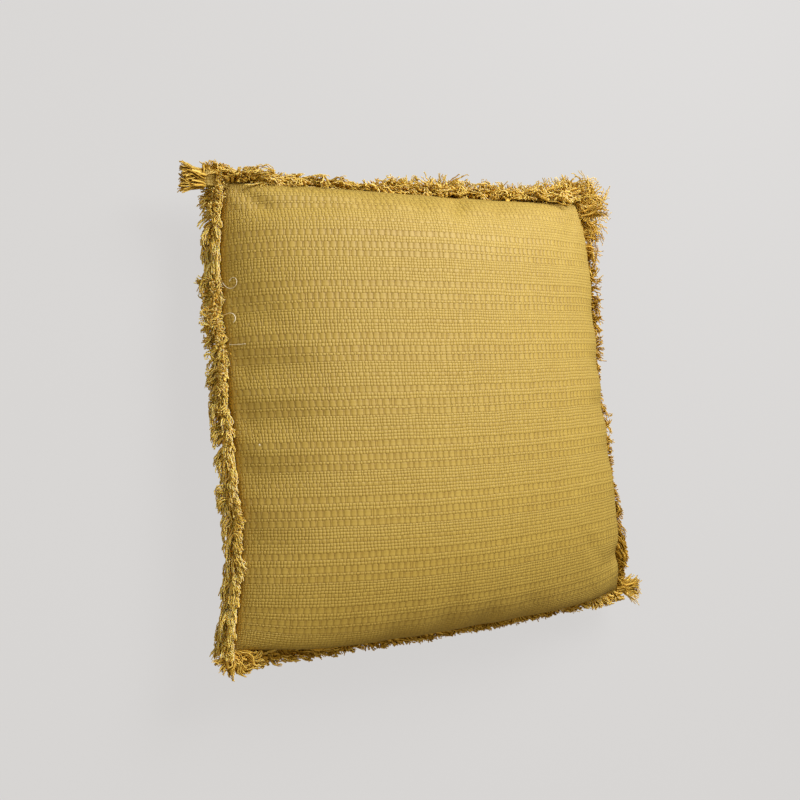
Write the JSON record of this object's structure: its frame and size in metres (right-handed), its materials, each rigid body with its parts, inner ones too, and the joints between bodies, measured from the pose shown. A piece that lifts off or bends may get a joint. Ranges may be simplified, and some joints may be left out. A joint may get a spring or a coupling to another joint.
{
  "type": "fringed cushion",
  "caption": "Square scatter cushion in ribbed slub cotton with a frayed fringe on every side, to rest on a sofa, chair or bed.",
  "frame": {"origin": "on the floor below the middle of the cushion's whole outline, fringe included, with the cushion lying on its back", "axes": "+Z out of the cushion's face, +Y towards its top edge, +X to the right as seen from in front of the face"},
  "size_m": [0.5252, 0.5168, 0.133],
  "materials": {
    "cloth": "matte ribbed slub cotton, mustard yellow",
    "yarn": "matte frayed cotton yarn, mustard yellow"
  },
  "bodies": {
    "root": {"cushion": "cloth", "fringe_left": "yarn", "fringe_top": "yarn", "fringe_right": "yarn", "fringe_bottom": "yarn"}
  },
  "joints": []
}
